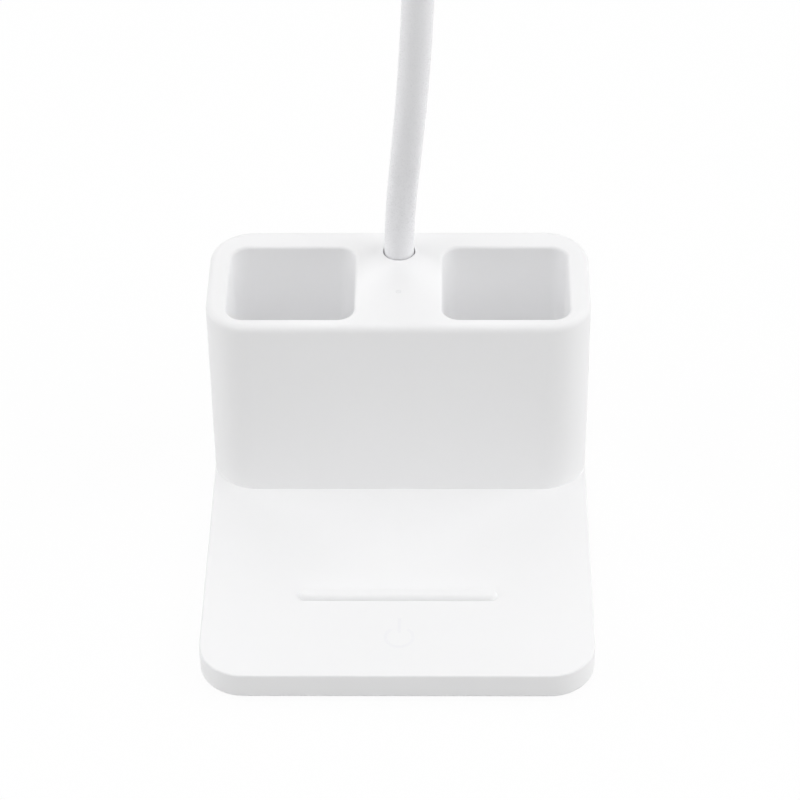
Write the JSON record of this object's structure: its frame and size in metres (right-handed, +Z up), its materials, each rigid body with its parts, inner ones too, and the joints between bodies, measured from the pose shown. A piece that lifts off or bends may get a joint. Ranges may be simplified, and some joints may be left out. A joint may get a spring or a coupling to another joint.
{
  "type": "desk lamp with pen holder base",
  "caption": "Rechargeable desk lamp: low plate with a phone stop in front of a block with two pen pockets, and a round head on a bendable neck.",
  "frame": {"origin": "middle of the base on the desk, at the underside of the anti-slip pad", "axes": "+Z up, +X to the right, the phone plate faces -Y"},
  "size_m": [0.13, 0.2497, 0.372],
  "materials": {
    "housing_white": "fine satin",
    "cover_white": "matt",
    "pad_grey": "matt",
    "sleeve_white": "matt silicone",
    "steel": "zinc plated",
    "cell_wrap": "shrink wrap",
    "board_green": "solder mask",
    "copper": "bare copper",
    "clear": "clear",
    "led": "clear",
    "opal": "opal",
    "reflector_white": "white film",
    "board_aluminium": "white mask"
  },
  "bodies": {
    "base": {"upper_housing": "housing_white", "bottom_cover": "cover_white", "anti_slip_pad": "pad_grey", "ballast_plate": "steel", "ballast_screws": "steel", "base_screws": "steel", "battery_cell": "cell_wrap", "main_board": "board_green", "board_screws": "steel", "charging_socket": "steel", "touch_foil": "copper", "touch_board": "board_green", "light_pipe": "clear", "indicator_board": "board_green", "indicator_led": "led", "neck_foot": "sleeve_white", "neck_washer": "steel", "neck_nut": "steel"},
    "neck_01": {"neck_span_01": "sleeve_white"},
    "neck_02": {"neck_span_02": "sleeve_white"},
    "neck_03": {"neck_span_03": "sleeve_white"},
    "neck_04": {"neck_span_04": "sleeve_white"},
    "neck_05": {"neck_span_05": "sleeve_white"},
    "neck_06": {"neck_span_06": "sleeve_white"},
    "neck_07": {"neck_span_07": "sleeve_white"},
    "neck_08": {"neck_span_08": "sleeve_white"},
    "neck_09": {"neck_span_09": "sleeve_white"},
    "neck_10": {"neck_span_10": "sleeve_white"},
    "neck_11": {"neck_span_11": "sleeve_white"},
    "head": {"neck_tip": "sleeve_white", "neck_tip_nut": "steel", "head_cover": "housing_white", "head_bezel": "housing_white", "diffuser": "opal", "reflector": "reflector_white", "led_board": "board_aluminium", "leds": "led", "head_screws": "steel"}
  },
  "joints": [
    {"name": "lower_neck_nod", "type": "hinge", "parent": "base", "child": "neck_01", "pos_m": [0, 0.0617, 0.089], "axis": [1, 0, 0], "range_deg": [-20, 12]},
    {"name": "lower_neck_sway", "type": "hinge", "parent": "neck_01", "child": "neck_02", "pos_m": [0.00136, 0.04855, 0.11481], "axis": [0, 0.8995, 0.437], "range_deg": [-20, 20]},
    {"name": "neck_bend_03", "type": "hinge", "parent": "neck_02", "child": "neck_03", "pos_m": [0.00332, 0.0364, 0.14107], "axis": [1, 0, 0], "range_deg": [-20, 12]},
    {"name": "neck_bend_04", "type": "hinge", "parent": "neck_03", "child": "neck_04", "pos_m": [0.00543, 0.02733, 0.16853], "axis": [0, 0.975, 0.2221], "range_deg": [-20, 20]},
    {"name": "neck_bend_05", "type": "hinge", "parent": "neck_04", "child": "neck_05", "pos_m": [0.00722, 0.02361, 0.19724], "axis": [1, 0, 0], "range_deg": [-20, 12]},
    {"name": "neck_bend_06", "type": "hinge", "parent": "neck_05", "child": "neck_06", "pos_m": [0.00826, 0.0229, 0.22621], "axis": [0, 0.9969, 0.0782], "range_deg": [-20, 20]},
    {"name": "upper_neck_nod", "type": "hinge", "parent": "neck_06", "child": "neck_07", "pos_m": [0.00832, 0.01908, 0.25496], "axis": [1, 0, 0], "range_deg": [-24, 15]},
    {"name": "upper_neck_sway", "type": "hinge", "parent": "neck_07", "child": "neck_08", "pos_m": [0.00832, 0.01088, 0.28278], "axis": [0, 0.9281, 0.3722], "range_deg": [-20, 20]},
    {"name": "neck_bend_09", "type": "hinge", "parent": "neck_08", "child": "neck_09", "pos_m": [0.00832, -0.00241, 0.30855], "axis": [1, 0, 0], "range_deg": [-24, 15]},
    {"name": "neck_bend_10", "type": "hinge", "parent": "neck_09", "child": "neck_10", "pos_m": [0.00832, -0.021, 0.33081], "axis": [0, 0.6833, 0.7301], "range_deg": [-20, 20]},
    {"name": "neck_bend_11", "type": "hinge", "parent": "neck_10", "child": "neck_11", "pos_m": [0.00832, -0.04444, 0.34788], "axis": [1, 0, 0], "range_deg": [-24, 15]},
    {"name": "neck_bend_12", "type": "hinge", "parent": "neck_11", "child": "head", "pos_m": [0.00832, -0.07158, 0.35811], "axis": [0, 0.2135, 0.9769], "range_deg": [-20, 20]}
  ],
  "couplings": [
    {"joint": "neck_bend_03", "follows": "lower_neck_nod", "ratio": 1},
    {"joint": "neck_bend_04", "follows": "lower_neck_sway", "ratio": 1},
    {"joint": "neck_bend_05", "follows": "lower_neck_nod", "ratio": 1},
    {"joint": "neck_bend_06", "follows": "lower_neck_sway", "ratio": 1},
    {"joint": "neck_bend_09", "follows": "upper_neck_nod", "ratio": 1},
    {"joint": "neck_bend_10", "follows": "upper_neck_sway", "ratio": 1},
    {"joint": "neck_bend_11", "follows": "upper_neck_nod", "ratio": 1},
    {"joint": "neck_bend_12", "follows": "upper_neck_sway", "ratio": 1}
  ]
}
